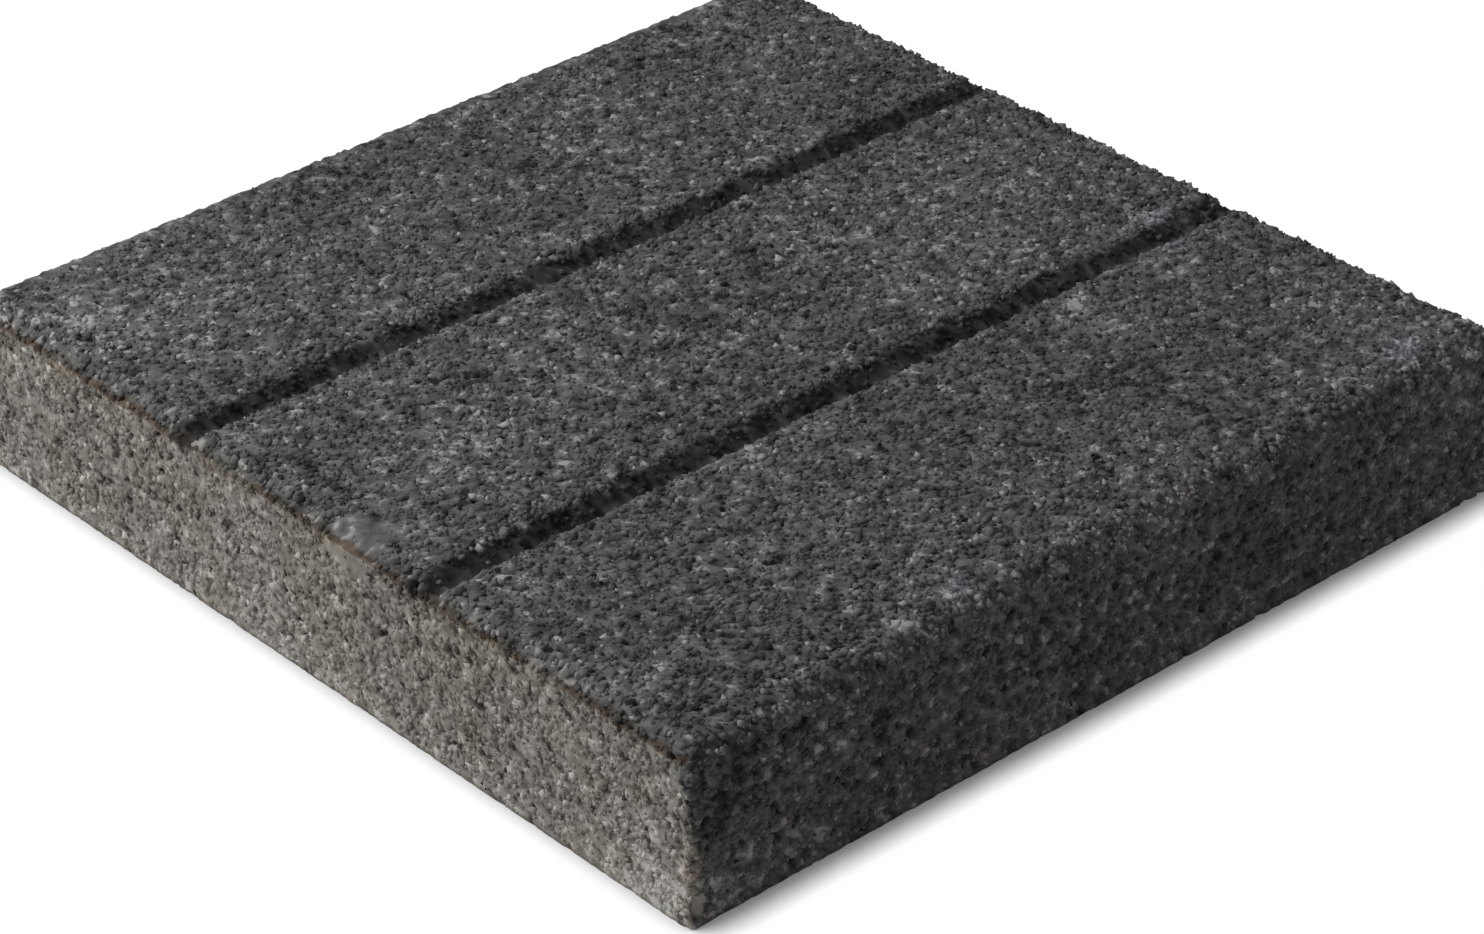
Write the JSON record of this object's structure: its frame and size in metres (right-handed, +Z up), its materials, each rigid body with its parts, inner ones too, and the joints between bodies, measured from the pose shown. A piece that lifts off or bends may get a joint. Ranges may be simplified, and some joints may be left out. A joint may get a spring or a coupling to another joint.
{
  "type": "concrete paving slab",
  "caption": "Square concrete paving slab whose wearing face is parted into strips by false joints and bevelled all round; laid flat on a bed to pave paths, yards and pavements.",
  "frame": {"origin": "middle of the flat bedding face, on which the slab lies", "axes": "+Z up out of the wearing face, X across the false joints, Y along them"},
  "size_m": [0.4, 0.4, 0.07],
  "materials": {
    "concrete": "matte"
  },
  "bodies": {
    "root": {"paving_slab": "concrete"}
  },
  "joints": []
}
